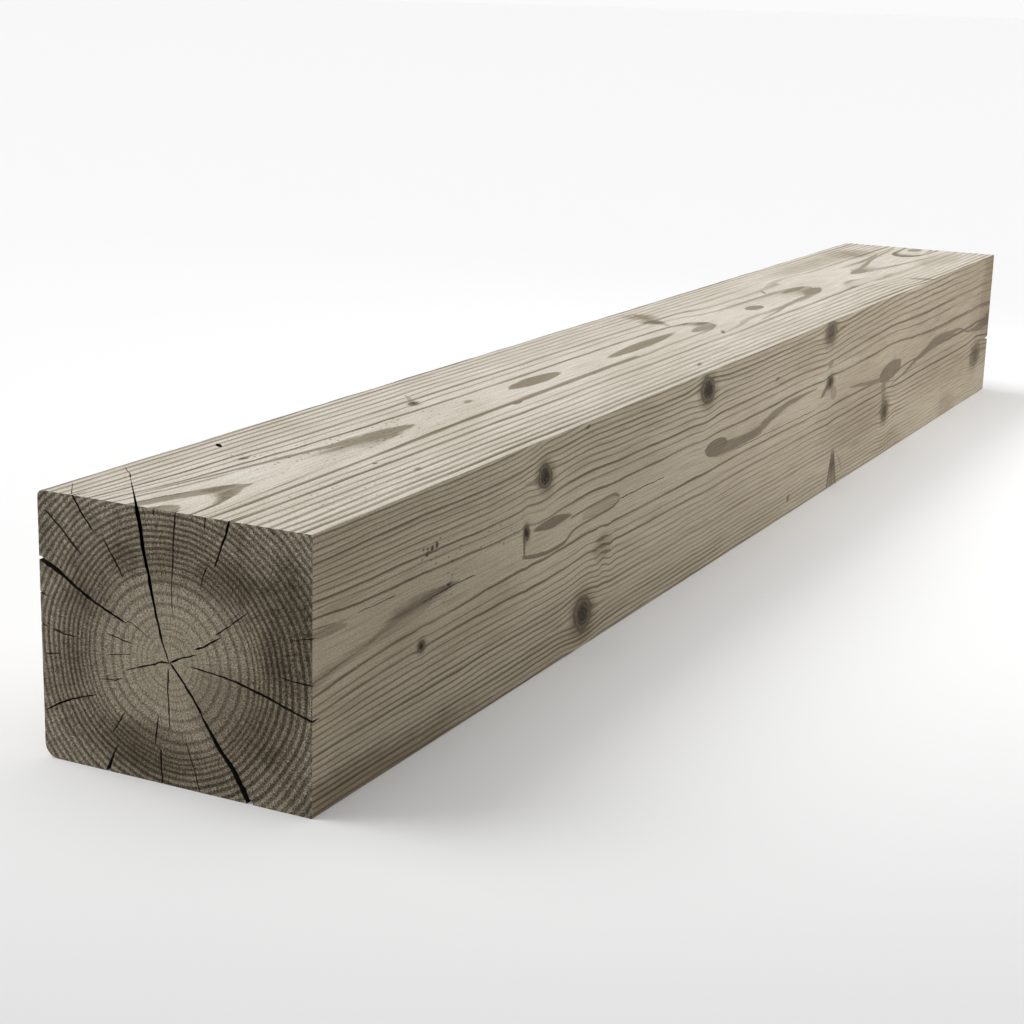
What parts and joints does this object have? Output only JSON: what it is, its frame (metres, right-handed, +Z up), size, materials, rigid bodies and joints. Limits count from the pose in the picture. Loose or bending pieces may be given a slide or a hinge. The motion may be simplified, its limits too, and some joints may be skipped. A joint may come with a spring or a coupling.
{
  "type": "pressure-treated timber beam",
  "caption": "Squared softwood timber sawn around the heart of the log, with growth rings, knots and drying checks in its ends; stock for posts, sleepers and beams.",
  "frame": {"origin": "centre of the underside", "axes": "+X along the length from the near end to the far end, +Y from the front side to the back side, +Z up"},
  "size_m": [1.3, 0.16, 0.14],
  "materials": {
    "treated_softwood": "sawn and lightly weathered, with raised grain and dark end grain"
  },
  "bodies": {
    "root": {"timber": "treated_softwood"}
  },
  "joints": []
}
